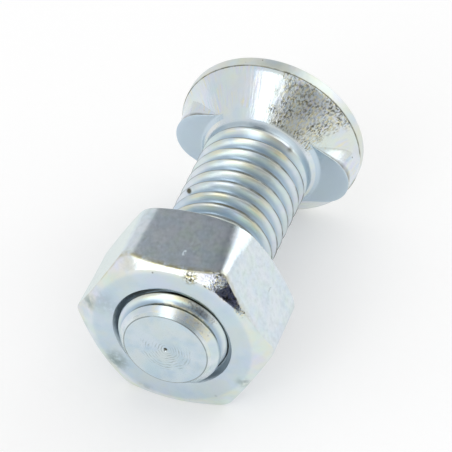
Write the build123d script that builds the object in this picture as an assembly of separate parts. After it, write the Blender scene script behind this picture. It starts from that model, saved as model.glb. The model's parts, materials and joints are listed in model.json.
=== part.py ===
from build123d import *
import os
from math import atan, cos, radians, sin, tan

# M12 plow bolt with a flat countersunk head and two side nibs, and its hex nut.
# The nibs lock in a slotted countersink, so that the nut can be tightened from one side.
# All sizes are in millimetres, and angles in degrees.
# Each piece is built upright, with the bolt's axis on Z and its point at Z = 0, and is then
# laid down as it rests: on the rim of its head and on one flat of its nut.

# Shank and point
thread_diameter = 12.0
rolling_allowance = 0.28        # how far the rolled crests stay under the nominal diameter
bolt_length = 35.0              # from the point to the flat outer face of the head
point_diameter = 9.0
point_chamfer = 0.9             # 45 degree chamfer at the point
lead_length = 4.0               # from the point to where the shank has its full diameter
dimple_diameter = 0.9           # centre mark on the point's flat end
dimple_depth = 0.35

# Head
head_diameter = 19.8
rim_height = 1.35               # the straight band between the cone and the outer face
cone_angle = 90.0
neck_diameter = 11.5            # the plain neck under the head, where the thread runs out
neck_fillet = 1.5
head_edge_chamfer = 0.2

# Side nibs
nib_span = 19.2                 # over the two rounded tips
nib_shift = 0.15                # how far the die stood to one side of the shank
nib_depth = 4.7                 # from the head's outer face to the nibs' flat underside
nib_tip_radius = 3.4
nib_draft = 4.0
nib_turn = 8.7                  # between the nibs and the surface that the bolt lies on
nib_edge_radius = 0.35
nib_root_radius = 0.5

# Hex nut
across_flats = 18.7
nut_height = 9.3
nut_corner_radius = 1.5
bearing_face_diameter = 17.2
nut_chamfer_angle = 30.0
bore_clearance = 0.08           # radial, between the nut's bore and the crests of the thread
bore_mouth_diameter = 12.84
point_proud = 2.0               # how far the point stands out of the nut

# Sizes that follow from those above
shank_radius = (thread_diameter - rolling_allowance) / 2
neck_radius = neck_diameter / 2
head_radius = head_diameter / 2
point_radius = point_diameter / 2
rim_start = bolt_length - rim_height
nib_start = bolt_length - nib_depth
bearing_face_radius = bearing_face_diameter / 2
bore_radius = shank_radius + bore_clearance
chamfer_slope = tan(radians(nut_chamfer_angle))


def turned_blank():
    """Point, shank, neck, cone and rim, revolved in one profile."""
    cone_foot = rim_start - (head_radius - neck_radius) / tan(radians(cone_angle / 2))
    neck_end = cone_foot - neck_fillet
    outline = Polyline(
        (0, dimple_depth),
        (dimple_diameter / 2, 0),
        (point_radius, 0),
        (point_radius + point_chamfer, point_chamfer),
        (shank_radius, lead_length),
        (shank_radius, neck_end - (shank_radius - neck_radius)),
        (neck_radius, neck_end),
        (neck_radius, cone_foot),
        (head_radius, rim_start),
        (head_radius, bolt_length),
        (0, bolt_length),
        close=True,
    )
    half = make_face(outline)
    neck_corner = half.vertices().sort_by_distance((neck_radius, cone_foot))[0]
    half = fillet(neck_corner, neck_fillet)
    head_corner = half.vertices().sort_by_distance((head_radius, bolt_length))[0]
    half = chamfer(head_corner, head_edge_chamfer)
    return revolve(Plane.XZ * half, Axis.Z)


def nib_boss():
    """The oval boss whose two ends are the nibs, drafted from their underside to the rim."""
    tip = Circle(nib_tip_radius)
    reach = nib_span / 2 - nib_tip_radius
    ends = [Pos(0, side * reach + nib_shift) * tip for side in (-1, 1)]
    outline = make_hull((Circle(neck_radius) + ends[0] + ends[1]).edges())
    height = rim_start + rim_height / 2 - nib_start
    boss = extrude(Pos(0, 0, nib_start) * Rot(0, 0, nib_turn) * outline, height, taper=-nib_draft)
    underside = boss.edges().group_by(Axis.Z)[0]
    return fillet(underside, nib_edge_radius)


def plow_bolt():
    """The forged and rolled bolt, one solid, with the nibs' roots rounded into the cone."""
    blank = turned_blank()
    bottom = (Align.CENTER, Align.CENTER, Align.MIN)
    envelope = Pos(0, 0, nib_start) * Cylinder(head_radius, nib_depth, align=bottom)
    nibs = nib_boss() & envelope
    bolt = blank + nibs
    seams = new_edges(blank, nibs, combined=bolt)
    roots = seams.filter_by_position(Axis.Z, nib_start + nib_edge_radius, rim_start)
    return bolt.fillet(nib_root_radius, roots)


def hex_nut():
    """The nut, chamfered at both faces, with its outer face just short of the point."""
    hexagon = RegularPolygon(across_flats / 2, 6, major_radius=False, rotation=30)
    prism = extrude(fillet(hexagon.vertices(), nut_corner_radius), nut_height)
    waist_radius = bearing_face_radius + nut_height / 2 / chamfer_slope
    double_cone = Polyline(
        (0, 0),
        (bearing_face_radius, 0),
        (waist_radius, nut_height / 2),
        (bearing_face_radius, nut_height),
        (0, nut_height),
        close=True,
    )
    mouth_radius = bore_mouth_diameter / 2
    mouth_depth = mouth_radius - bore_radius
    bore = Polyline(
        (0, 0),
        (mouth_radius, 0),
        (bore_radius, mouth_depth),
        (bore_radius, nut_height - mouth_depth),
        (mouth_radius, nut_height),
        (0, nut_height),
        close=True,
    )
    chamfered = prism & revolve(Plane.XZ * make_face(double_cone), Axis.Z)
    return Pos(0, 0, point_proud) * (chamfered - revolve(Plane.XZ * make_face(bore), Axis.Z))


def lay_down(pieces):
    """Tip the upright pieces onto the rim and the nut's flat, centred over the origin."""
    flat_start = point_proud + (across_flats / 2 - bearing_face_radius) * chamfer_slope
    tip = atan((head_radius - across_flats / 2) / (rim_start - flat_start))
    lying = Plane(origin=(0, 0, 0), x_dir=(-sin(tip), 0, cos(tip)), z_dir=(cos(tip), 0, sin(tip)))
    laid = [lying.location * piece for piece in pieces]
    box = Compound(children=[piece.solids()[0] for piece in laid]).bounding_box()
    centre = box.center()
    return [Pos(-centre.X, -centre.Y, -box.min.Z) * piece for piece in laid]


bolt, nut = lay_down([plow_bolt(), hex_nut()])

os.makedirs("parts", exist_ok=True)
for name, piece in (("bolt", bolt), ("hex_nut", nut)):
    export_step(piece.solids()[0], f"parts/{name}.step")
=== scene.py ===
"""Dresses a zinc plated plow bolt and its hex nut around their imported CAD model."""

import json
import math
from functools import cached_property, partial

import bmesh
import bpy
import numpy as np
from bpy.props import FloatProperty, IntProperty, PointerProperty, StringProperty
from bpy.types import Operator, Panel, PropertyGroup
from mathutils import Matrix, Vector


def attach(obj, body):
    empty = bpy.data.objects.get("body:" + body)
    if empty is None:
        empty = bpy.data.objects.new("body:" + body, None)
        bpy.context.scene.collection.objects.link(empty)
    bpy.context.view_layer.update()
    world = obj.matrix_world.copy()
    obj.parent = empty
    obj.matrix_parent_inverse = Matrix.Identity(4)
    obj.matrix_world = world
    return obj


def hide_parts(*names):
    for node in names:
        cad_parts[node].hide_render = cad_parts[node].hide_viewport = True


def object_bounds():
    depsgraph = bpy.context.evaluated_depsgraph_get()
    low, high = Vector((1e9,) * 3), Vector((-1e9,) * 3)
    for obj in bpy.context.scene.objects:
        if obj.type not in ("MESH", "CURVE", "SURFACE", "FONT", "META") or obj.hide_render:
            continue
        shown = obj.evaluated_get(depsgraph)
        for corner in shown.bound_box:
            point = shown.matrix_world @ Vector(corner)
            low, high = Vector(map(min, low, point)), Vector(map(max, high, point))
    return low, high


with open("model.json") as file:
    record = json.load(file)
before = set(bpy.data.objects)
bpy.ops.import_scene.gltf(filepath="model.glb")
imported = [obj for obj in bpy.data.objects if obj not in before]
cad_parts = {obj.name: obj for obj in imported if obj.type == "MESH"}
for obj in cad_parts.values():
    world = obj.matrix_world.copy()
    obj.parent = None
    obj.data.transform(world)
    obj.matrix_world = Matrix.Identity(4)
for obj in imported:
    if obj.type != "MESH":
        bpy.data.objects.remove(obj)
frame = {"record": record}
CAD_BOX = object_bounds()

bl_info = {
    "name": "Plow Bolt",
    "version": (1, 0, 0),
    "blender": (4, 5, 0),
    "location": "3D View > Sidebar > Plow Bolt",
    "description": "Builds a threaded plow bolt and its hex nut with their plated finishes",
    "category": "Object",
}

MM = 0.001

# The bolt's own axes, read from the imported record: out of the head's face, and square to it.
HEAD_FACE = next(m for m in frame["record"]["mounts"] if m["name"] == "head_face")
AXIS = Vector(HEAD_FACE["axis"]).normalized()
RISE = Vector((-AXIS.z, 0.0, AXIS.x))
SIDE = AXIS.cross(RISE)


# ---------------- sizes and colours


def length_of(name, value_mm, text):
    """A length in metres, from its value in millimetres."""
    value = value_mm * MM
    return FloatProperty(name=name, description=text, default=value, unit="LENGTH", precision=5)


def angle_of(name, value_degrees, text):
    """An angle, from its value in degrees."""
    value = math.radians(value_degrees)
    return FloatProperty(name=name, description=text, default=value, unit="ROTATION")


def count_of(name, value, least, text):
    """A whole number, and the least it may be."""
    return IntProperty(name=name, description=text, default=value, min=least)


def hex_colour(name, value, text):
    """A colour kept as an sRGB hex value."""
    return StringProperty(name=name, description=text, default=value)


class ThreadSettings(PropertyGroup):
    pitch: length_of("Pitch", 1.75, "Distance between two turns")
    crest_radius: length_of("Crest radius", 5.86, "Radius of the bolt's rolled crests")
    root_radius: length_of("Root radius", 4.95, "Radius of the bolt's grooves")
    crest_flat: length_of("Crest width", 0.22, "Width of the crest before its rounding")
    rounding: length_of("Crest rounding", 0.26, "How far the crests are rounded")
    root_rounding: length_of("Root rounding", 0.3, "How far the grooves are rounded")
    play: length_of("Play", 0.07, "Radial play between nut and bolt")
    nut_minor_radius: length_of("Nut crest radius", 5.1, "Radius of the nut's own crests")
    nut_major_radius: length_of("Nut groove radius", 6.05, "Radius of the nut's own grooves")
    first_root: length_of("First root", 1.36, "Height of the first groove, at the top of the bolt")
    runout_start: length_of("Run-out start", 27.5, "Where the groove's floor begins to rise")
    runout_end: length_of("Run-out end", 28.2, "Height where the crests begin to fade")
    fold_end: length_of("Fold end", 28.8, "Height where the last fold has faded away")
    columns: count_of("Columns", 180, 24, "Columns of faces round it")
    rows: count_of("Rows", 22, 8, "Rows in a turn of the bolt's thread")
    nut_rows: count_of("Nut rows", 16, 8, "Rows in a turn of the nut's")


class BoltSettings(PropertyGroup):
    length: length_of("Length", 35.0, "From the point to the outer face of the head")
    point_radius: length_of("Point radius", 4.5, "Radius of the flat end")
    point_edge: length_of("Point edge", 0.1, "Rounding of the flat end's edge")
    point_chamfer: length_of("Point chamfer", 0.9, "Size of the point's 45 degree chamfer")
    lead_length: length_of("Lead", 2.2, "From the point to the crests' full radius")
    dimple_radius: length_of("Dimple radius", 0.26, "Radius of the centre mark")
    dimple_depth: length_of("Dimple depth", 0.22, "Depth of the centre mark")
    neck_radius: length_of("Neck radius", 5.75, "Radius of the plain neck")
    neck_fillet: length_of("Neck fillet", 0.9, "Fillet between neck and cone")
    head_radius: length_of("Head radius", 9.9, "Radius of the head")
    rim_height: length_of("Rim height", 1.35, "Height of the straight rim")
    face_edge: length_of("Face edge", 0.2, "Rounding of the outer face's edge")
    nib_depth: length_of("Nib depth", 4.7, "From the outer face to the nibs' undersides")
    nib_reach: length_of("Nib reach", 9.6, "From the middle of the nibs to a tip")
    nib_shift: length_of("Nib shift", 0.15, "How far the die set the nibs to one side")
    nib_tip: length_of("Nib tip", 3.4, "Radius of a nib's tip")
    nib_edge: length_of("Nib edge", 0.12, "Rounding of the nibs' undersides")
    nib_foot: length_of("Nib foot", 0.35, "Fillet between the cone's foot and the nibs")
    nib_flash: length_of("Nib flash", 0.14, "Thickness of the flash left round the nibs")
    flash: length_of("Flash", 0.09, "Thickness of the flash left under the rim")
    nib_root: length_of("Nib root", 0.5, "Fillet between a nib's wall and the cone")
    nib_draft: angle_of("Nib draft", 4.0, "Draft of the nibs' walls")
    nib_turn: angle_of("Nib turn", 8.7, "Turn of the nibs out of the level")


class NutSettings(PropertyGroup):
    across_flats: length_of("Across flats", 18.7, "Width across two flats")
    height: length_of("Height", 9.3, "Height of the nut")
    proud: length_of("Point proud", 2.0, "How far the point stands out of the nut")
    corner: length_of("Corner radius", 1.4, "Rounding of the six corners beside the point")
    far_corner: length_of("Far corner radius", 2.6, "Rounding of the six corners beside the head")
    corner_spread: length_of("Corner spread", 0.4, "How much the forged corners differ")
    face_round: length_of("Face rounding", 1.6, "Rounding between flat faces and chamfers")
    face_radius: length_of("Face radius", 8.6, "Radius of the flat faces")
    chamfer: angle_of("Chamfer", 30.0, "Angle of the chamfers")
    mouth_radius: length_of("Mouth radius", 6.42, "Radius of the bore's countersunk mouth")
    edge: length_of("Edge", 0.1, "Rounding between chamfers and flats")


class FinishSettings(PropertyGroup):
    silver: hex_colour("Silver", "#DCE4E9", "Bright zinc where the blue passivation is thin")
    blue: hex_colour("Blue", "#CCDCE9", "The passivation's blue")
    lilac: hex_colour("Lilac", "#D8DBEA", "The passivation's lilac")
    # Straw and green are also painted highlight colour near the crests on the lit side, and straw
    # on the point's chamfer.
    straw: hex_colour("Straw", "#E4E1C4", "The passivation's straw yellow")
    green: hex_colour("Green", "#D3E5DC", "The passivation's pale green")
    # Steel blue also serves as painted shade on the nibs' undersides, the nut's flat faces and the
    # point's flat end.
    steel_blue: hex_colour("Steel blue", "#BCD0DF", "The thicker passivation of sheltered faces")
    # This colour is painted shade low on the thread's flanks.
    groove_shade_blue: hex_colour("Groove blue", "#A9BECF", "Dull passivation low on the thread's flanks")
    # This colour is painted shade in the corner between neck and cone.
    neck: hex_colour("Neck", "#C3D1DA", "Duller plating in the corner between neck and cone")
    # This colour is the dark line on the crests and along the head's flash, partly the folds of
    # rolling and partly painted shade.
    fold_shade: hex_colour("Fold", "#6A6D68", "Dirt in the fold that rolling leaves")
    # This colour also darkens the speckled patches, where it is partly painted dark reflection.
    pit: hex_colour("Pit", "#5E5D50", "Scale left in the pits of forged zinc")
    # This colour is painted shade at the groove floors and on the top side of the nut's bore.
    seam: hex_colour("Seam", "#6C6B5C", "Dirt and bare steel in the seams and grooves")
    bore: hex_colour("Bore", "#C2CDD4", "Dull thin plating inside the nut")
    burr: hex_colour("Burr", "#949E9F", "The thin edge that the lathe tool turned over")
    smudge: hex_colour("Smudge", "#93A3A4", "Grey marks left by handling")
    scuffed: hex_colour("Scuffed", "#B9B48E", "Edges rubbed thin, where the straw colour stays")
    floor: hex_colour("Floor", "#E7E7E7", "The pale floor")


class StageSettings(PropertyGroup):
    azimuth: angle_of("Azimuth", 289.45, "Direction of the camera round the part")
    elevation: angle_of("Elevation", 42.02, "Height of the camera over the floor")
    roll: angle_of("Roll", -0.85, "Roll of the camera")
    distance: length_of("Distance", 620.6, "From the camera to the part")
    right: length_of("Aim right", 0.505, "Aim to the right of the part's middle")
    up: length_of("Aim up", 0.95, "Aim over the part's middle")
    lens: FloatProperty(name="Lens", description="Focal length in millimetres", default=477.9)
    sky: FloatProperty(name="Sky", description="Strength of the light all round", default=0.85)
    glow: FloatProperty(name="Floor glow", description="Glow that only the view sees", default=0.24)


# ---------------- meshes


def point_middle():
    """The middle of the bolt's flat end, in the part's own frame."""
    return Vector(HEAD_FACE["pos_m"]) - AXIS * bpy.context.scene.plow_bolt.length


def placed(radius, angle, height):
    """Points from their radius, angle and height over the point, in the part's own frame."""
    radius, angle, height = np.broadcast_arrays(radius, angle, height)
    x = (radius * np.cos(angle))[..., None] * np.array(RISE)
    y = (radius * np.sin(angle))[..., None] * np.array(SIDE)
    z = height[..., None] * np.array(AXIS)
    return np.array(point_middle()) + x + y + z


def smooth_min(a, b, width):
    """The lower of two values, rounded over a width where they cross."""
    h = np.clip(0.5 + 0.5 * (b - a) / width, 0.0, 1.0)
    return b * (1 - h) + a * h - width * h * (1 - h)


def smooth_max(a, b, width):
    return -smooth_min(-a, -b, width)


def smooth_step(low, high, value):
    x = np.clip((value - low) / (high - low), 0.0, 1.0)
    return x * x * (3 - 2 * x)


def add_object(name, data):
    """A new object in the scene, with its mesh, lamp or camera."""
    piece = bpy.data.objects.new(name, data)
    bpy.context.scene.collection.objects.link(piece)
    return piece


WELD = 0.002 * MM      # points nearer than this to each other are one


class Shell:
    """Vertices and faces of one closed skin, gathered ring by ring."""

    def __init__(self):
        self.points, self.seams, self.faces, self.kinds, self.count = [], [], [], [], 0

    def add(self, points, seam=0.0):
        """Adds points, each with its value of seams and shade, and gives their indices in the same
        layout.
        """
        flat = np.asarray(points).reshape(-1, 3)
        self.points.append(flat)
        self.seams.append(np.broadcast_to(seam, np.shape(points)[:-1]).ravel())
        indices = np.arange(self.count, self.count + len(flat)).reshape(np.shape(points)[:-1])
        self.count += len(flat)
        return indices

    def quads(self, a, b, c, d, kind):
        """Faces from four arrays of corners of the same layout."""
        corners = np.stack([a, b, c, d], -1).reshape(-1, 4)
        self.faces.extend(corners.tolist())
        self.kinds.extend([kind] * len(corners))

    def rings(self, stack, kinds):
        """Bands of faces between the rings of a stack, all of one kind or each of its own."""
        kinds = np.broadcast_to(kinds, len(stack) - 1).tolist()
        for low, high, kind in zip(stack[:-1], stack[1:], kinds):
            self.quads(low, np.roll(low, -1), np.roll(high, -1), high, kind)

    def build(self, name, materials):
        """The finished object: rings merged, faces turned outwards and smooth shaded.

        For the finishes, each vertex keeps its place in the upright bolt, in millimetres, and
        how far it lies in dark seams and folds, partly painted shade, or on a rubbed edge.
        """
        mesh = bpy.data.meshes.new(name)
        points = np.concatenate(self.points)
        mesh.from_pydata(points.tolist(), [], self.faces)
        for material in materials:
            mesh.materials.append(material)
        mesh.polygons.foreach_set("material_index", self.kinds)
        upright = (points - np.array(point_middle())) @ np.array([RISE, SIDE, AXIS]).T / MM
        place = mesh.attributes.new("place_mm", "FLOAT_VECTOR", "POINT")
        place.data.foreach_set("vector", upright.astype(np.float32).ravel())
        seam = mesh.attributes.new("seam", "FLOAT", "POINT")
        seam.data.foreach_set("value", np.concatenate(self.seams).astype(np.float32))
        skin = bmesh.new()
        skin.from_mesh(mesh)
        bmesh.ops.remove_doubles(skin, verts=skin.verts, dist=WELD)
        bmesh.ops.dissolve_degenerate(skin, edges=skin.edges, dist=WELD / 2)
        bmesh.ops.recalc_face_normals(skin, faces=skin.faces)
        for face in skin.faces:
            face.smooth = True
        skin.to_mesh(mesh)
        skin.free()
        return add_object(name, mesh)


def rounded_path(corners, radii, steps=6):
    """A path through corners, each rounded by its radius: its points, their run and its stops.

    The stops are where its straight and rounded parts meet. Corners that lie on each other give
    parts of no length, so every path has as many parts.
    """
    corners = [np.array(c, dtype=float) for c in corners]
    path, marks = [corners[0]], [0]
    for before, corner, after, radius in zip(corners[:-2], corners[1:-1], corners[2:], radii):
        back, ahead = before - corner, after - corner
        back_length, ahead_length = np.linalg.norm(back), np.linalg.norm(ahead)
        turn, no_length, no_turn = 0.0, 1e-9, 1e-4
        if min(back_length, ahead_length) > no_length:
            cosine = -np.dot(back, ahead) / back_length / ahead_length
            turn = math.acos(np.clip(cosine, -1, 1))
        if turn < no_turn:
            path += [corner] * (steps + 1)
        else:
            # A rational curve that follows the corner's true arc.
            reach = min(radius * math.tan(turn / 2), 0.48 * back_length, 0.48 * ahead_length)
            start, end = corner + back / back_length * reach, corner + ahead / ahead_length * reach
            for i in range(steps + 1):
                s = i / steps
                weight = 2 * s * (1 - s) * math.cos(turn / 2)
                total = (1 - s) ** 2 + weight + s**2
                path.append(((1 - s) ** 2 * start + weight * corner + s**2 * end) / total)
        marks += [len(path) - steps - 1, len(path) - 1]
    path.append(corners[-1])
    marks.append(len(path) - 1)
    path = np.array(path)
    run = np.concatenate([[0], np.cumsum(np.linalg.norm(np.diff(path, axis=0), axis=1))])
    return path, run, run[marks]


def stationed(path, run, stops, counts, least):
    """Points along a path, with a count of steps and a least length for each of its parts."""
    room = least * np.arange(len(stops))
    stops = np.maximum.accumulate(stops - room) + room
    stops = np.minimum(stops, run[-1] - room[::-1])
    places = [stops[0]]
    for low, high, count in zip(stops[:-1], stops[1:], counts):
        places += list(low + (high - low) * np.arange(1, count + 1) / count)
    return np.stack([np.interp(places, run, path[:, 0]), np.interp(places, run, path[:, 1])], -1)


def groove(distance, thread):
    """Radius of a sharp 60 degree thread, from the distance along the axis to its crest."""
    top = thread.crest_radius + thread.crest_flat / 2 * math.sqrt(3)
    return top - np.abs(distance) * math.sqrt(3)


def crest_distance(angle, height, thread):
    """Distance along the axis to the nearest crest of the right-hand thread."""
    turns = (height - thread.first_root) / thread.pitch - angle / math.tau - 0.5
    return (turns - np.round(turns)) * thread.pitch


# The dark line on the crests, in millimetres: where its two sides lie, how softly each ends, and
# how far it leans towards the head at the top of the bolt. The line is partly the folds that
# rolling leaves and partly painted shade, where each crest hides the groove behind it.
FOLD_SIDES, FOLD_SOFTNESS, FOLD_LEAN = (-0.12, 0.11), (0.04, 0.05), 0.07


def crest_seam(angle, height, thread):
    """How far a point lies in the crests' dark line of folds and painted shade, faded at both ends.
    """
    lean = FOLD_LEAN * np.clip(np.cos(angle), -0.3, 1.0)
    distance = crest_distance(angle, height, thread) / MM - lean
    fold_shade = np.clip((distance - FOLD_SIDES[0]) / FOLD_SOFTNESS[0], 0, 1)
    fold_shade = fold_shade * np.clip((FOLD_SIDES[1] - distance) / FOLD_SOFTNESS[1], 0, 1)
    fade = smooth_step(thread.fold_end - 0.4 * MM, thread.fold_end, height)
    return fold_shade * (1 - fade) * smooth_step(1.0 * MM, 1.8 * MM, height)


def screw(shell, angles, low, high, radius_at, thread, rows, kind):
    """A threaded stretch whose rows follow the thread. Gives the level rings at both ends.

    A row climbs one pitch in a turn, held between the ends. The rows lie closer together at
    the crests and the grooves than on the flanks.
    """
    count = len(angles)
    columns = np.arange(-3 * count, (math.ceil(high / thread.pitch) + 3) * count)
    angle = angles[columns % count] + math.tau * (columns // count)
    climb = angle / math.tau * thread.pitch + thread.first_root
    start = np.searchsorted(climb, low, "right") - 1 - count
    body = np.searchsorted(climb, high) - start + 1
    angle = angle[start : start + body + count]
    base = np.clip(climb[start : start + body + count], low, high)
    span = base[count:] - base[:-count]
    share, crowding = np.arange(rows) / rows, 0.6
    share = share - crowding * np.sin(2 * math.tau * share) / (2 * math.tau)
    height = base[:body, None] + span[:, None] * share
    turn = np.repeat(angle[:body, None], rows, 1)
    points = placed(radius_at(turn, height), turn, height)
    grid = shell.add(points, crest_seam(turn, height, thread))
    end_angle, end_height = angle[body:], base[body:]
    tail = shell.add(placed(radius_at(end_angle, end_height), end_angle, end_height))
    edge = np.concatenate([grid[:, 0], tail])
    full = np.concatenate([grid, edge[count : count + body, None]], 1)
    shell.quads(full[:-1, :-1], full[1:, :-1], full[1:, 1:], full[:-1, 1:], kind)
    bottom = np.roll(edge[:count], start % count)
    top = np.roll(edge[body - 1 : body - 1 + count], (start + body - 1) % count)
    return bottom, top


# ---------------- the bolt


FORGED, ROLLED, POINT = 0, 1, 2      # the bolt's finishes
# Small roundings: thread to run-out, crests to the point's lead, centre mark, nut's mouths.
RUNOUT_EDGE, LEAD_EDGE, DIMPLE_EDGE, MOUTH_EDGE = 0.06 * MM, 0.08 * MM, 0.15 * MM, 0.06 * MM
# Specks on the thread: angle from the top, height over the point, size and strength.
BOLT_MARKS = (
    (-46, 19.1, 0.5, 2.5), (-62, 22.6, 0.2, 0.5), (37, 25.3, 0.3, 0.6), (42, 21.8, 0.3, 0.5),
    (44, 28.3, 0.5, 0.7), (75, 25.3, 0.16, 0.9), (78, 27.2, 0.2, 0.5),
)
# Steps along the straight and rounded parts of the point's and the head's sections.
POINT_COUNTS = (4, 4, 12, 5, 3)
HEAD_COUNTS = (3, 10, 3, 6, 4, 3, 1, 2, 1, 2, 4, 5, 9, 2, 1, 2, 1, 2, 4, 5, 12)
# The head's rings of points in the seams beside the flash, at the nibs and at the rim.
# Their darkness is painted shade under the flash.
NIB_SEAM, RIM_SEAM = slice(29, 35), slice(55, 60)


def nib_outline(turn, bolt):
    """How far the boss with the two nibs reaches, at an angle from the line of the nibs."""
    tip, neck = bolt.nib_tip, bolt.neck_radius
    reach = bolt.nib_reach - tip - math.copysign(bolt.nib_shift, math.cos(turn))
    lean = math.asin((neck - tip) / reach)
    neck_turn = math.pi / 2 - lean
    tip_turn = math.atan2(tip * math.cos(lean), reach + tip * math.sin(lean))
    turn = abs(math.remainder(turn, math.pi))
    if turn < tip_turn:
        across = reach * math.sin(turn)
        return reach * math.cos(turn) + math.sqrt(tip**2 - across**2)
    return neck / math.cos(max(neck_turn - turn, 0.0))


def head_section(turn, bolt, neck_start):
    """Section of the head, from the neck to the middle of the outer face.

    Gives radii and heights, then how open the seams at the nibs and the rim are, from 0 to 1.
    """
    head, neck = bolt.head_radius, bolt.neck_radius
    rim_start, nib_start = bolt.length - bolt.rim_height, bolt.length - bolt.nib_depth
    cone_base = rim_start - head      # where the 90 degree cone would have no radius
    foot = nib_start - cone_base
    outline = max(nib_outline(turn, bolt), foot)
    spread = math.tan(bolt.nib_draft)
    wall = (outline - foot * spread) / (1 - spread)
    height = wall + cone_base
    if wall > head:
        wall, height = head, nib_start + (head - outline) / spread
    nib_lip = min(bolt.nib_flash, (height - nib_start) * 0.3)
    rim_lip = bolt.flash * min((head - wall) / (4 * bolt.flash), 1.0)
    corners = [
        (neck, neck_start),
        (neck, neck + cone_base),
        (foot, nib_start),
        (outline, nib_start),
        (outline, nib_start + nib_lip),
        (outline - nib_lip, nib_start + 1.5 * nib_lip),
        (wall, height),
        (head - rim_lip, rim_start - rim_lip),
        (head - rim_lip, rim_start + rim_lip / 2),
        (head, rim_start + rim_lip / 2),
        (head, bolt.length),
        (0.0, bolt.length),
    ]
    fine = bolt.flash / 4
    radii = [bolt.neck_fillet, bolt.nib_foot, bolt.nib_edge, fine, fine, bolt.nib_root]
    radii += [fine, fine, fine, bolt.face_edge]
    path, run, stops = rounded_path(corners, radii)
    section = stationed(path, run, stops, HEAD_COUNTS, least=0.04 * MM)
    return section, nib_lip / bolt.nib_flash, rim_lip / bolt.flash


def thread_lead(height, thread, bolt):
    """How far the crests reach at a height: the point's chamfer, then the slow lead."""
    chamfered = bolt.point_radius + bolt.point_chamfer
    slope = (thread.crest_radius - chamfered) / (bolt.lead_length - bolt.point_chamfer)
    return np.minimum(bolt.point_radius + height, chamfered + (height - bolt.point_chamfer) * slope)


def thread_radius(thread, bolt, angle, height):
    """The bolt's radius at an angle and height of its threaded stretch."""
    form = groove(crest_distance(angle, height, thread), thread)
    form = smooth_max(form, thread.root_radius, thread.root_rounding)
    form = smooth_min(form, thread.crest_radius, thread.rounding)
    # The groove's floor rises at 45 degrees into the neck.
    runout = np.minimum(thread.root_radius + height - thread.runout_start, bolt.neck_radius)
    form = smooth_max(form, runout, RUNOUT_EDGE)
    fade = smooth_step(thread.runout_end, thread.fold_end, height)
    form = form + (bolt.neck_radius - form) * fade
    return smooth_min(form, thread_lead(height, thread, bolt), LEAD_EDGE)


def make_bolt(materials):
    bolt, thread = bpy.context.scene.plow_bolt, bpy.context.scene.plow_thread
    shell = Shell()
    angles = bolt.nib_turn - math.pi / 2 + np.arange(thread.columns) * math.tau / thread.columns
    # The screw's rows start on the point's chamfer and end on the plain neck.
    low, high = 0.3 * MM, thread.fold_end + 0.1 * MM
    corners = [(0, bolt.dimple_depth), (bolt.dimple_radius, 0)]
    corners += [(bolt.point_radius, 0), (bolt.point_radius + low, low)]
    path, run, stops = rounded_path(corners, [DIMPLE_EDGE, bolt.point_edge])
    end = stationed(path, run, stops, POINT_COUNTS, least=0.02 * MM)
    end_rings = [shell.add(placed(radius, angles, height)) for radius, height in end[:-1]]
    radius_at = partial(thread_radius, thread, bolt)
    bottom, top = screw(shell, angles, low, high, radius_at, thread, thread.rows, ROLLED)
    shell.rings(end_rings + [bottom], POINT)
    sections, nib_seam, rim_seam = zip(*[head_section(a - angles[0], bolt, high) for a in angles])
    sections = np.array(sections)[:, 1:]
    # Painted shade: the seams beside the flash are darkened as far as the flash is open.
    darkness = np.zeros(sections.shape[:2])
    darkness[:, NIB_SEAM] = np.array(nib_seam)[:, None]
    darkness[:, RIM_SEAM] = np.array(rim_seam)[:, None]
    head = shell.add(placed(sections[..., 0], angles[:, None], sections[..., 1]), darkness)
    shell.rings([top] + list(head.T), FORGED)
    return shell.build("bolt_forging", materials)


# ---------------- the nut


NUT_FACE, NUT_FLAT, NUT_BORE = 0, 1, 2      # the nut's finishes
# Marks on the nut's face: angle from the top, distance from the axis, size and strength.
HANDLING_MARKS = (
    (-160, 9.0, 1.4, 0.5), (-130, 8.0, 2.0, 1.0), (-100, 10.2, 1.2, 0.5), (-78, 9.3, 1.3, 0.9),
    (-70, 7.8, 2.6, 0.35), (120, 8.7, 1.1, 0.8), (147, 8.4, 0.3, 1.5),
)
# Steps along the straight and rounded parts of the nut's section, and their finishes.
NUT_COUNTS = (1, 3, 6, 6, 6, 4, 12, 4, 6, 6, 6, 3, 1)
NUT_KINDS = [NUT_BORE] + [NUT_FACE] * 5 + [NUT_FLAT] + [NUT_FACE] * 5 + [NUT_BORE]
# The rings of points on the edge between the flats and the chamfers beside the point.
NUT_EDGE = slice(21, 26)
# Columns of faces along each flat and round each corner.
FLAT_COLUMNS, CORNER_COLUMNS = 18, 14


def hexagon_radius(turn, flat, corner):
    """How far a hexagon with rounded corners reaches, at an angle from the middle of a flat."""
    turn = abs(math.remainder(turn, math.pi / 3))
    middle = (flat - corner) / math.cos(math.pi / 6)
    rounding_start = math.atan2((flat - corner) * math.tan(math.pi / 6), flat)
    if turn < rounding_start:
        return flat / math.cos(turn)
    off = math.pi / 6 - turn
    return middle * math.cos(off) + math.sqrt(corner**2 - (middle * math.sin(off)) ** 2)


def hexagon_angles(nut):
    """Columns round the nut: even along the flats, and closer round the corners."""
    flat = nut.across_flats / 2
    widest = nut.far_corner + nut.corner_spread
    rounding_start = math.atan2((flat - widest) * math.tan(math.pi / 6), flat)
    across = np.arctan(np.linspace(-1, 1, FLAT_COLUMNS + 1)[:-1] * math.tan(rounding_start))
    share = np.arange(CORNER_COLUMNS) / CORNER_COLUMNS
    corner = rounding_start + share * (math.pi / 3 - 2 * rounding_start)
    sixth = np.concatenate([across, corner])
    return np.concatenate([sixth + i * math.pi / 3 for i in range(6)]) - math.pi


def corner_radii(turn, nut):
    """Rounding of the nearest corner beside the point and the head. No two are forged alike."""
    corner, swing = round(turn / (math.pi / 3) - 0.5) % 6, 1.74
    change = nut.corner_spread * math.cos(swing * corner + math.pi)
    return nut.corner + change, nut.far_corner - change


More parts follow.
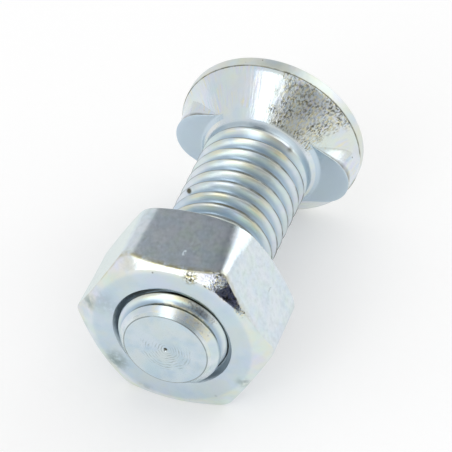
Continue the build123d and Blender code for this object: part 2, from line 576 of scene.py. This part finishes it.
def nut_section(turn, nut, mouth_end):
    """Radii and heights of the nut's skin, from one bore mouth round to the other."""
    slope, corners = math.tan(nut.chamfer), []
    ends = (nut.proud, nut.proud + nut.height)
    for base, corner, way in zip(ends, corner_radii(turn, nut), (1, -1)):
        side = hexagon_radius(turn, nut.across_flats / 2, corner)
        half = [
            (nut.mouth_radius - mouth_end, base + way * mouth_end),
            (nut.mouth_radius, base),
            (nut.face_radius, base),
            (side, base + way * (side - nut.face_radius) * slope),
        ]
        corners += half[::way]
    radii = [MOUTH_EDGE, nut.face_round, nut.edge]
    path, run, stops = rounded_path(corners, radii + radii[::-1])
    return stationed(path, run, stops, NUT_COUNTS, least=0.01 * MM)


def bore_radius(thread, nut, angle, height):
    """The nut's inner radius at an angle and height of its bore, with its 45 degree mouths."""
    form = groove(crest_distance(angle, height, thread), thread) + thread.play
    form = smooth_max(form, thread.nut_minor_radius, thread.rounding / 2)
    form = smooth_min(form, thread.nut_major_radius, thread.rounding / 2)
    near = nut.mouth_radius - (height - nut.proud)
    far = nut.mouth_radius - (nut.proud + nut.height - height)
    return np.maximum(form, np.maximum(near, far))


def make_nut(materials):
    nut, thread = bpy.context.scene.plow_nut, bpy.context.scene.plow_thread
    shell = Shell()
    angles = hexagon_angles(nut)
    mouth_end = 0.25 * MM
    sections = np.array([nut_section(a, nut, mouth_end) for a in angles])[:, 1:-1]
    # The edge of the top flat is the one most rubbed by other nuts.
    rubbed = np.zeros(sections.shape[:2])
    rubbed[:, NUT_EDGE] = np.clip(np.cos(angles), 0, 1)[:, None] ** 2
    skin = shell.add(placed(sections[..., 0], angles[:, None], sections[..., 1]), rubbed)
    low, high = nut.proud + mouth_end, nut.proud + nut.height - mouth_end
    radius_at = partial(bore_radius, thread, nut)
    bottom, top = screw(shell, angles, low, high, radius_at, thread, thread.nut_rows, NUT_BORE)
    shell.rings([bottom] + list(skin.T) + [top], np.repeat(NUT_KINDS, NUT_COUNTS))
    return shell.build("nut_forging", materials)


# ---------------- materials


def linear(text):
    """Linear colour from an sRGB hex value."""
    parts = [int(text[i : i + 2], 16) / 255 for i in (1, 3, 5)]
    return [c / 12.92 if c <= 0.04045 else ((c + 0.055) / 1.055) ** 2.4 for c in parts] + [1.0]


def add_node(tree, kind, inputs=None, **settings):
    """Adds a node. inputs gives its sockets a value each, or the socket that feeds it."""
    node = tree.nodes.new(kind)
    for key, value in settings.items():
        setattr(node, key, value)
    for key, value in (inputs or {}).items():
        if isinstance(value, bpy.types.NodeSocket):
            tree.links.new(value, node.inputs[key])
        else:
            node.inputs[key].default_value = value
    return node


def new_material(name):
    material = bpy.data.materials.new(name)
    material.use_nodes = True
    material.node_tree.nodes.clear()
    return material, material.node_tree


# The grain of the zinc and of the steel under it, in millimetres. Real crystals of zinc are finer,
# and are drawn as coarse as they need to show.
CRYSTAL, DIMPLE, STREAK, FLAKE, TOOL_FEED = 0.22, 1.1, 0.35, 0.22, 0.3
SOFTLY = {"interpolation_type": "SMOOTHSTEP"}


class Zinc:
    """One zinc finish under way: its nodes, and the colour laid down so far.

    A zone is a socket that is 1 where something shows and 0 elsewhere. Lengths are in
    millimetres and angles in degrees, about the upright bolt.
    """

    def __init__(self, name, patch, **tints):
        """Starts as bright zinc under blue passivation. Its thickness drifts in patches, and each
        faint tint shows, up to its strength, where the thickness suits it.
        """
        self.material, tree = new_material(name)
        self.add = partial(add_node, tree)
        self.palette = bpy.context.scene.plow_finish
        self.place = self.add("ShaderNodeAttribute", attribute_name="place_mm").outputs["Vector"]
        self.colour = linear(self.palette.silver)
        for number, (tint, strength) in enumerate(tints.items()):
            inputs = {"Vector": self.place, "W": 3.7 * number, "Scale": 1 / patch}
            inputs |= {"Detail": 2.0, "Roughness": 0.6}
            drift = self.add("ShaderNodeTexNoise", inputs, noise_dimensions="4D")
            inputs = {0: drift.outputs[0], 1: 0.4, 2: 0.68, 4: strength}
            self.tint(tint, self.add("ShaderNodeMapRange", inputs, **SOFTLY).outputs[0])

    @cached_property
    def axes(self):
        return self.add("ShaderNodeSeparateXYZ", {0: self.place}).outputs

    @cached_property
    def radius(self):
        inputs = {0: self.place, 1: (1, 1, 0)}
        flat = self.add("ShaderNodeVectorMath", inputs, operation="MULTIPLY").outputs[0]
        return self.add("ShaderNodeVectorMath", {0: flat}, operation="LENGTH").outputs["Value"]

    @cached_property
    def angle(self):
        """Angle round the bolt from its top, in radians."""
        parts = {0: self.axes["Y"], 1: self.axes["X"]}
        return self.add("ShaderNodeMath", parts, operation="ARCTAN2").outputs[0]

    @cached_property
    def seam(self):
        """The mesh's own seams, folds and rubbed edges; its dark seams and folds are partly painted
        shade.
        """
        return self.add("ShaderNodeAttribute", attribute_name="seam").outputs["Fac"]

    def overlap(self, *zones):
        """Where all the zones meet. A number among them weakens or strengthens what they give."""
        total = zones[0]
        for zone in zones[1:]:
            inputs = {0: total, 1: zone}
            total = self.add("ShaderNodeMath", inputs, operation="MULTIPLY").outputs[0]
        return total

    def layered(self, base, *layers):
        """A base with layers added to it, each a socket and its strength."""
        for layer, strength in layers:
            inputs = {0: layer, 1: strength, 2: base}
            base = self.add("ShaderNodeMath", inputs, operation="MULTIPLY_ADD").outputs[0]
        return base

    def tint(self, name, *zones):
        """Lays a tint of the finish over the colour where the zones meet."""
        inputs = {0: self.overlap(*zones), 6: self.colour, 7: linear(getattr(self.palette, name))}
        self.colour = self.add("ShaderNodeMix", inputs, data_type="RGBA").outputs[2]

    def band(self, value, low, high, edge):
        """Between two values, fading out over an edge on both sides."""
        inputs = {0: value, 1: low - edge, 2: low}
        rise = self.add("ShaderNodeMapRange", inputs, **SOFTLY)
        inputs = {0: value, 1: high, 2: high + edge, 3: 1.0, 4: 0.0}
        fall = self.add("ShaderNodeMapRange", inputs, **SOFTLY)
        return self.overlap(rise.outputs[0], fall.outputs[0])

    def sector(self, low, high, edge):
        """Between two angles round the bolt."""
        return self.band(self.angle, math.radians(low), math.radians(high), math.radians(edge))

    def spot(self, angle, reach, height, size, strength):
        """A soft round spot about a place on the skin."""
        turn = math.radians(angle)
        middle = (reach * math.cos(turn), reach * math.sin(turn), height)
        off = self.add("ShaderNodeVectorMath", {0: self.place, 1: middle}, operation="DISTANCE")
        inputs = {0: off.outputs["Value"], 1: 0.0, 2: size, 3: strength, 4: 0.0}
        return self.add("ShaderNodeMapRange", inputs, **SOFTLY).outputs[0]

    def grain(self, size, low, high, place=None, detail=2.0):
        """Fine random grain, spread between 0 and 1 from its low to its high level."""
        inputs = {"Vector": place or self.place, "Scale": 1 / size, "Detail": detail}
        noise = self.add("ShaderNodeTexNoise", inputs)
        return self.add("ShaderNodeMapRange", {0: noise.outputs[0], 1: low, 2: high}).outputs[0]

    def pits(self, spacing, size, place=None):
        """A few scattered pits, none near another."""
        inputs = {"Vector": place or self.place, "Scale": 1 / spacing}
        cells = self.add("ShaderNodeTexVoronoi", inputs)
        edge = size / spacing
        inputs = {0: cells.outputs["Distance"], 1: edge / 2, 2: edge, 3: 1.0, 4: 0.0}
        return self.add("ShaderNodeMapRange", inputs, **SOFTLY).outputs[0]

    def speckle(self, zone):
        """Dark and straw specks in a zone, partly painted dark reflection.
        Gives how much rougher the skin's relief is there.
        """
        self.tint("pit", zone, self.grain(0.3, 0.52, 0.58), self.grain(1.0, 0.4, 0.55))
        self.tint("straw", zone, self.grain(0.24, 0.57, 0.62))
        return self.layered(1.0, (zone, 0.6))

    def skin(self):
        """Relief of the plating: fine crystals on soft dimples."""
        inputs = {"Vector": self.place, "Scale": 1 / CRYSTAL, "Detail": 2.0, "Roughness": 0.6}
        crystals = self.add("ShaderNodeTexNoise", inputs)
        inputs = {"Vector": self.place, "Scale": 1 / DIMPLE, "Detail": 1.0}
        dimples = self.add("ShaderNodeTexNoise", inputs)
        return self.layered(crystals.outputs[0], (dimples.outputs[0], 1.5))

    def plate(self, roughness, relief, depth):
        """Ends as bright zinc. Its reflections carry the look, and the relief only ruffles them."""
        bump = self.add("ShaderNodeBump", {"Height": relief, "Distance": depth * MM})
        inputs = {"Base Color": self.colour, "Metallic": 1.0, "Roughness": roughness}
        shader = self.add("ShaderNodeBsdfPrincipled", {**inputs, "Normal": bump.outputs[0]})
        self.add("ShaderNodeOutputMaterial", {"Surface": shader.outputs[0]})
        return self.material


def forged_zinc():
    """Hot forged steel, zinc plated: smooth from the die, pitted by scale on part of the cone,
    where the dark specks are partly painted dark reflection.
    """
    bolt, thread = bpy.context.scene.plow_bolt, bpy.context.scene.plow_thread
    nib_start, rim_start = (bolt.length - bolt.nib_depth) / MM, (bolt.length - bolt.rim_height) / MM
    zinc = Zinc("forged_zinc", 2.6, blue=0.8, lilac=0.6, green=0.5, straw=0.3)
    height = zinc.axes["Z"]
    # Painted shade: the flat undersides of the nibs are tinted a darker blue.
    under = zinc.band(height, nib_start - 0.35, nib_start + 0.03, 0.04)
    for side in (-90, 90):
        turn = side + math.degrees(bolt.nib_turn)
        zinc.tint("steel_blue", under, zinc.sector(turn - 40, turn + 40, 5), 0.72)
    # The metal flowed down the cone, and everything on it is drawn out that way.
    around = zinc.overlap(zinc.angle, 8.0)
    along = zinc.overlap(height, 0.8)
    flow = zinc.add("ShaderNodeCombineXYZ", {0: around, 1: along}).outputs[0]
    inputs = {0: flow, 1: (1.0, 0.25, 1.0)}
    drawn_out = zinc.add("ShaderNodeVectorMath", inputs, operation="MULTIPLY").outputs[0]
    # Its flow shows as faint streaks, a third of a millimetre wide.
    for number, (tint, low) in enumerate((("blue", 0.46), ("lilac", 0.46), ("straw", 0.54))):
        inputs = {0: drawn_out, 1: (7.0 * number, 0, 0)}
        shifted = zinc.add("ShaderNodeVectorMath", inputs, operation="ADD").outputs[0]
        zinc.tint(tint, zinc.grain(STREAK, low, low + 0.18, shifted), zinc.grain(2.2, 0.42, 0.62),
                  zinc.band(height, nib_start + 0.3, rim_start, 0.2))
    inputs = {"Vector": drawn_out, "Scale": 1 / STREAK, "Detail": 2.0}
    streaks = zinc.add("ShaderNodeTexNoise", inputs).outputs[0]
    # Scale sat on one side of the cone. It left a patch of flakes and pits with a ragged edge.
    # Its dark specks are partly painted dark reflection of the dark surroundings on that side.
    inputs = {"Vector": zinc.place, "Scale": 1 / 1.2, "Detail": 3.0}
    ragged = zinc.add("ShaderNodeTexNoise", inputs)
    wander = zinc.layered(zinc.angle, (ragged.outputs[0], 0.5))
    scale_and_dark_reflection = zinc.overlap(zinc.band(wander, math.radians(32), math.radians(70), math.radians(12)),
                          zinc.band(height, nib_start - 0.4, nib_start + 3.3, 0.3))
    inputs = {"Vector": flow, "Scale": 1 / FLAKE, "Detail": 3.0, "Roughness": 0.7}
    flakes = zinc.add("ShaderNodeTexNoise", inputs).outputs[0]
    dark = zinc.add("ShaderNodeMapRange", {0: flakes, 1: 0.485, 2: 0.56}).outputs[0]
    zinc.tint("straw", scale_and_dark_reflection, zinc.grain(0.26, 0.48, 0.62, flow))
    zinc.tint("pit", scale_and_dark_reflection, dark, zinc.grain(1.3, 0.3, 0.62))
    zinc.tint("pit", zinc.pits(3.1, 0.1))
    # Painted shade: the seams beside the flash at the nibs and the rim are darkened.
    zinc.tint("fold_shade", zinc.seam, zinc.grain(0.8, 0.1, 0.6))
    # The rim and the neck are rougher than the cone between them, where the die rubbed less.
    # The neck's darker tint is painted shade in the corner between neck and cone.
    neck = zinc.band(height, thread.fold_end / MM - 0.8, thread.fold_end / MM + 0.5, 0.35)
    rim = zinc.band(height, rim_start + 0.03, bolt.length / MM + 5.0, 0.03)
    zinc.tint("neck", neck, zinc.grain(1.2, 0.1, 0.5))
    zinc.tint("straw", rim, zinc.grain(1.8, 0.3, 0.65), 0.4)
    relief = zinc.layered(zinc.skin(), (zinc.overlap(flakes, scale_and_dark_reflection), 4.0), (streaks, 2.4))
    return zinc.plate(zinc.layered(0.22, (neck, 0.24), (rim, 0.24)), relief, 0.008)


def rolled_zinc():
    """Rolled steel, zinc plated: straw near the crests as a painted highlight, blue down the flanks
    as painted shade, and a dark line along the folds that is partly painted shade.
    """
    thread = bpy.context.scene.plow_thread
    root, crest = thread.root_radius / MM, thread.crest_radius / MM
    zinc = Zinc("rolled_zinc", 2.2, lilac=0.7, steel_blue=0.7, green=0.6)
    height = zinc.axes["Z"]
    threaded = zinc.band(height, 1.4, thread.runout_end / MM, 0.5)
    # Painted shade: the flanks are a duller blue low down, towards the grooves.
    zinc.tint("groove_shade_blue", threaded, zinc.band(zinc.radius, 0.0, root + 0.15, 0.45))
    # Painted highlight: green and straw near the crests, on the lit side only.
    lit_side = zinc.overlap(threaded, zinc.sector(-25, 40, 25))
    for tint, low, high in (("green", 0.45, 0.3), ("straw", 0.28, 0.05)):
        stripe = zinc.band(zinc.radius, crest - low, crest - high, 0.12)
        zinc.tint(tint, lit_side, stripe, zinc.grain(2.6, 0.38, 0.7))
    # Painted shade, with some dirt: the groove floors are darkened.
    floor = zinc.band(zinc.radius, 0.0, root + 0.03, 0.06)
    zinc.tint("seam", threaded, floor, zinc.grain(2.0, 0.1, 0.7))
    # Painted shade on the neck, where it runs into the corner under the head.
    neck = zinc.band(height, thread.fold_end / MM, thread.fold_end / MM + 1.2, 0.5)
    zinc.tint("neck", neck, zinc.grain(1.2, 0.1, 0.5))
    # The dark line on the crests: partly the folds of rolling, partly painted shade.
    zinc.tint("fold_shade", zinc.seam, zinc.grain(1.6, 0.2, 0.55))
    zinc.tint("pit", zinc.pits(2.6, 0.09))
    for angle, over, size, strength in BOLT_MARKS:
        zinc.tint("pit", zinc.spot(angle, crest - 0.15, over, size, strength))
    # Painted highlight: the point's chamfer is straw on its lit top side.
    chamfer = zinc.band(height, 0.0, 1.6, 0.3)
    zinc.tint("straw", zinc.sector(-12, 60, 8), chamfer, zinc.grain(0.9, 0.35, 0.65))
    # The chamfer and the first turn are speckled on one side, as the nut beside them is.
    # The dark specks there are partly painted dark reflection.
    zone = zinc.overlap(zinc.sector(16, 58, 5), zinc.band(height, 0.0, 2.4, 0.3), 0.35)
    relief = zinc.overlap(zinc.speckle(zone), zinc.skin())
    return zinc.plate(0.28, relief, 0.004)


def turned_zinc():
    """The point's flat end, left by the lathe tool: faint rings round the centre, a dark edge."""
    edge = bpy.context.scene.plow_bolt.point_radius / MM
    zinc = Zinc("turned_zinc", 2.2, steel_blue=1.0, green=0.4, straw=0.3)
    # Painted shade: the whole flat end is tinted a darker blue.
    zinc.tint("steel_blue", zinc.band(zinc.radius, 0.0, edge, 0.1), 0.4)
    burr = zinc.band(zinc.radius, edge - 0.04, edge + 0.02, 0.05)
    zinc.tint("burr", burr, zinc.grain(1.2, 0.2, 0.45))
    zinc.tint("pit", zinc.band(zinc.radius, 0.0, 0.12, 0.1))
    # The tool's rings wander a little, and show best to one side of the centre.
    wobble = zinc.add("ShaderNodeTexNoise", {"Vector": zinc.place, "Scale": 1 / 1.5})
    turns = zinc.overlap(zinc.layered(zinc.radius, (wobble.outputs[0], 0.8)), math.tau / TOOL_FEED)
    rings = zinc.add("ShaderNodeMath", {0: turns}, operation="SINE").outputs[0]
    patches = zinc.grain(1.0, 0.35, 0.7)
    side, middle = zinc.band(zinc.axes["X"], -3.2, 0.4, 0.8), zinc.band(zinc.radius, 0.4, 2.4, 0.8)
    rings = zinc.overlap(rings, patches, side, middle)
    drawn = zinc.add("ShaderNodeMapRange", {0: rings, 1: 0.1, 2: 0.8, 4: 0.7}).outputs[0]
    zinc.tint("smudge", drawn)
    return zinc.plate(0.24, rings, 0.012)


def faced_zinc():
    """The nut's faces and chamfers: pressed smooth, with grey marks where nuts knocked together."""
    nut = bpy.context.scene.plow_nut
    near, face = nut.proud / MM, nut.face_radius / MM
    zinc = Zinc("faced_zinc", 2.6, steel_blue=0.8, lilac=1.0, green=0.7, straw=0.5)
    # Painted shade: the flat faces are tinted a darker blue.
    zinc.tint("steel_blue", zinc.band(zinc.radius, 0.0, face - 0.3, 0.5), 0.52)
    for angle, reach, size, strength in HANDLING_MARKS:
        mark = zinc.spot(angle, reach, near + 0.2, size, strength)
        zinc.tint("smudge", mark, zinc.grain(0.6, 0.3, 0.55))
    zinc.tint("pit", zinc.pits(3.7, 0.1))
    zinc.tint("scuffed", zinc.seam, zinc.grain(0.7, 0.3, 0.6))
    # One small patch is pitted, and part of the chamfer is speckled and torn, where scale came off.
    # The chamfer's dark specks are partly painted dark reflection.
    patch = zinc.spot(13.5, 8.95, near + 0.2, 1.1, 1.4)
    zinc.tint("pit", patch, zinc.grain(0.28, 0.46, 0.56))
    zinc.tint("scuffed", patch, zinc.grain(0.33, 0.52, 0.6))
    chamfer = zinc.band(zinc.radius, face + 0.2, nut.across_flats / MM, 0.15)
    rough = zinc.speckle(zinc.overlap(zinc.sector(25, 56, 3), chamfer))
    torn = zinc.spot(30, 9.9, near + 0.5, 1.4, 12.0)
    return zinc.plate(0.14, zinc.overlap(zinc.skin(), zinc.layered(rough, (torn, 1.0))), 0.006)


def drawn_zinc():
    """The nut's flats: drawn bar's skin, mottled, with a few short scratches from other nuts."""
    zinc = Zinc("drawn_zinc", 2.0, green=0.6, blue=0.6, lilac=0.3)
    zinc.tint("green", zinc.sector(-88, -36, 6), 0.5)
    zinc.tint("smudge", zinc.grain(0.5, 0.45, 0.75, detail=3.0), 0.22)
    zinc.tint("scuffed", zinc.seam, zinc.grain(0.7, 0.3, 0.6))
    inputs = {0: zinc.place, 1: (1.0, 1.0, 0.35)}
    lengthened = zinc.add("ShaderNodeVectorMath", inputs, operation="MULTIPLY").outputs[0]
    relief = zinc.layered(zinc.skin(), (zinc.pits(1.7, 0.17, lengthened), -14.0))
    return zinc.plate(0.26, relief, 0.006)


def tapped_zinc():
    """The nut's thread: cut by the tap, thinly plated and dull, and darker at the top as painted
    shade.
    """
    mouth = bpy.context.scene.plow_nut.mouth_radius / MM
    zinc = Zinc("tapped_zinc", 2.0, bore=1.0)
    zinc.tint("bore", zinc.band(zinc.radius, 0.0, mouth - 0.07, 0.1))
    # Painted shade: the top side of the bore is darkened.
    zinc.tint("seam", zinc.sector(-40, 40, 20), zinc.grain(1.5, 0.1, 0.5))
    return zinc.plate(0.35, zinc.skin(), 0.006)


# ---------------- the stage


def direction(azimuth, elevation):
    """Unit vector towards a direction round the part and an elevation, both in degrees."""
    a, e = math.radians(azimuth), math.radians(elevation)
    return Vector((math.sin(a) * math.cos(e), -math.cos(a) * math.cos(e), math.sin(e)))


def hang(piece, azimuth, elevation, distance):
    """Hangs a lamp or a card over the part, facing it."""
    away = direction(azimuth, elevation)
    piece.location = away * distance
    piece.rotation_mode = "QUATERNION"
    piece.rotation_quaternion = away.to_track_quat("Z", "Y")


def make_sheet(name, width, height, material):
    """A flat rectangle of the stage, level and with its middle at the origin."""
    mesh = bpy.data.meshes.new(name)
    w, h = width / 2, height / 2
    mesh.from_pydata([(-w, -h, 0), (w, -h, 0), (w, h, 0), (-w, h, 0)], [], [(0, 1, 2, 3)])
    mesh.materials.append(material)
    sheet = add_object(name, mesh)
    return sheet


def make_floor():
    """Matt pale paper. Its faint glow shows to the view and in reflections, and lights nothing."""
    stage, finish = bpy.context.scene.plow_stage, bpy.context.scene.plow_finish
    material, tree = new_material("floor_paper")
    diffuse = add_node(tree, "ShaderNodeBsdfDiffuse", {"Color": linear(finish.floor)})
    path = add_node(tree, "ShaderNodeLightPath").outputs
    seen = path["Is Camera Ray"]
    for ray in ("Is Glossy Ray", "Is Transmission Ray"):
        either = add_node(tree, "ShaderNodeMath", {0: seen, 1: path[ray]}, operation="MAXIMUM")
        seen = either.outputs[0]
    lift = add_node(tree, "ShaderNodeMath", {0: seen, 1: stage.glow}, operation="MULTIPLY")
    glow = add_node(tree, "ShaderNodeEmission", {"Strength": lift.outputs[0]})
    both = add_node(tree, "ShaderNodeAddShader", {0: diffuse.outputs[0], 1: glow.outputs[0]})
    add_node(tree, "ShaderNodeOutputMaterial", {"Surface": both.outputs[0]})
    make_sheet("floor", 4.0, 4.0, material)


def make_softbox(name, azimuth, elevation, distance, width, height, radiance):
    """A rectangular lamp that shows as a plain bright area of the given radiance."""
    lamp = bpy.data.lights.new(name, "AREA")
    lamp.shape, lamp.size, lamp.size_y = "RECTANGLE", width, height
    lamp.energy = radiance * math.pi * width * height
    hang(add_object(name, lamp), azimuth, elevation, distance)


def make_card(name, azimuth, elevation, distance, width, height, grey):
    """A grey sheet that glows and that only reflections see: a painted dark reflection, standing
    in for the card a studio hangs beside a shiny part.
    """
    material, tree = new_material(name)
    glow = add_node(tree, "ShaderNodeEmission", {"Color": linear(grey)})
    add_node(tree, "ShaderNodeOutputMaterial", {"Surface": glow.outputs[0]})
    card = make_sheet(name, width, height, material)
    hang(card, azimuth, elevation, distance)
    card.visible_camera = card.visible_diffuse = card.visible_shadow = False


def make_camera():
    stage = bpy.context.scene.plow_stage
    back = direction(math.degrees(stage.azimuth), math.degrees(stage.elevation))
    turn = back.to_track_quat("Z", "Y")
    aim = (CAD_BOX[0] + CAD_BOX[1]) / 2 + turn @ Vector((stage.right, stage.up, 0))
    data = bpy.data.cameras.new("camera")
    data.lens, data.sensor_width = stage.lens, 36.0
    data.clip_start, data.clip_end = 0.01, 20.0
    camera = add_object("camera", data)
    camera.location = aim + back * stage.distance
    camera.rotation_mode = "QUATERNION"
    camera.rotation_quaternion = turn @ Matrix.Rotation(stage.roll, 4, "Z").to_quaternion()
    bpy.context.scene.camera = camera


def make_world():
    """Plain white surroundings, the light of a studio's walls."""
    world = bpy.data.worlds.new("studio")
    world.use_nodes = True
    tree = world.node_tree
    tree.nodes.clear()
    strength = bpy.context.scene.plow_stage.sky
    sky = add_node(tree, "ShaderNodeBackground", {"Color": (1, 1, 1, 1), "Strength": strength})
    add_node(tree, "ShaderNodeOutputWorld", {"Surface": sky.outputs[0]})
    bpy.context.scene.world = world
    bpy.context.scene.view_settings.view_transform = "Standard"


# ---------------- operators


class PLOWBOLT_OT_bolt(Operator):
    """Build the bolt: point, rolled thread, neck and head with its nibs"""

    bl_idname = "object.plow_bolt_build"
    bl_label = "Build Bolt"

    def execute(self, context):
        piece = make_bolt([forged_zinc(), rolled_zinc(), turned_zinc()])
        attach(piece, "bolt")
        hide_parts("bolt")
        return {"FINISHED"}


class PLOWBOLT_OT_nut(Operator):
    """Build the hex nut with its chamfers and its internal thread"""

    bl_idname = "object.plow_nut_build"
    bl_label = "Build Hex Nut"

    def execute(self, context):
        piece = make_nut([faced_zinc(), drawn_zinc(), tapped_zinc()])
        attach(piece, "nut")
        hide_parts("hex_nut")
        return {"FINISHED"}


class PLOWBOLT_OT_stage(Operator):
    """Build the pale floor, the soft lamps, the cards and the camera"""

    bl_idname = "scene.plow_stage_build"
    bl_label = "Build Stage"

    def execute(self, context):
        make_floor()
        make_world()
        # Direction and elevation in degrees, then distance, width and height in metres.
        make_softbox("key_softbox", 254, 34, 0.6, 0.24, 0.42, 1.05)
        make_softbox("low_softbox", 254.5, 8.7, 0.6, 0.46, 0.12, 1.15)
        make_softbox("side_softbox", 56, 27, 0.6, 0.36, 0.42, 0.93)
        make_card("far_card", 101.5, 46, 0.6, 0.2, 0.4, "#75777B")
        make_card("high_card", 301, 33, 0.5, 0.4, 0.3, "#AEAFB0")
        make_card("low_card", 289.8, 12.7, 0.068, 0.026, 0.021, "#3A3D52")
        make_camera()
        return {"FINISHED"}


class PLOWBOLT_PT_build(Panel):
    """Lists the sizes, the finish and the steps that build the part"""

    bl_idname = "PLOWBOLT_PT_build"
    bl_label = "Plow Bolt"
    bl_space_type = "VIEW_3D"
    bl_region_type = "UI"
    bl_category = "Plow Bolt"

    def draw(self, context):
        column = self.layout.column()
        for operator in OPERATORS:
            column.operator(operator.bl_idname)
        for group in GROUPS:
            settings = getattr(context.scene, group)
            box = column.box()
            for key in settings.bl_rna.properties.keys():
                if key not in {"rna_type", "name"}:
                    box.prop(settings, key)


OPERATORS = (PLOWBOLT_OT_bolt, PLOWBOLT_OT_nut, PLOWBOLT_OT_stage)
GROUPS = {
    "plow_bolt": BoltSettings,
    "plow_thread": ThreadSettings,
    "plow_nut": NutSettings,
    "plow_finish": FinishSettings,
    "plow_stage": StageSettings,
}


def register():
    for name, group in GROUPS.items():
        bpy.utils.register_class(group)
        setattr(bpy.types.Scene, name, PointerProperty(type=group))
    for kind in (*OPERATORS, PLOWBOLT_PT_build):
        bpy.utils.register_class(kind)


def unregister():
    for kind in reversed((*OPERATORS, PLOWBOLT_PT_build)):
        bpy.utils.unregister_class(kind)
    for name, group in reversed(GROUPS.items()):
        delattr(bpy.types.Scene, name)
        bpy.utils.unregister_class(group)


def main():
    register()
    bpy.ops.object.plow_bolt_build()
    bpy.ops.object.plow_nut_build()
    bpy.ops.scene.plow_stage_build()


if __name__ == "__main__":
    main()
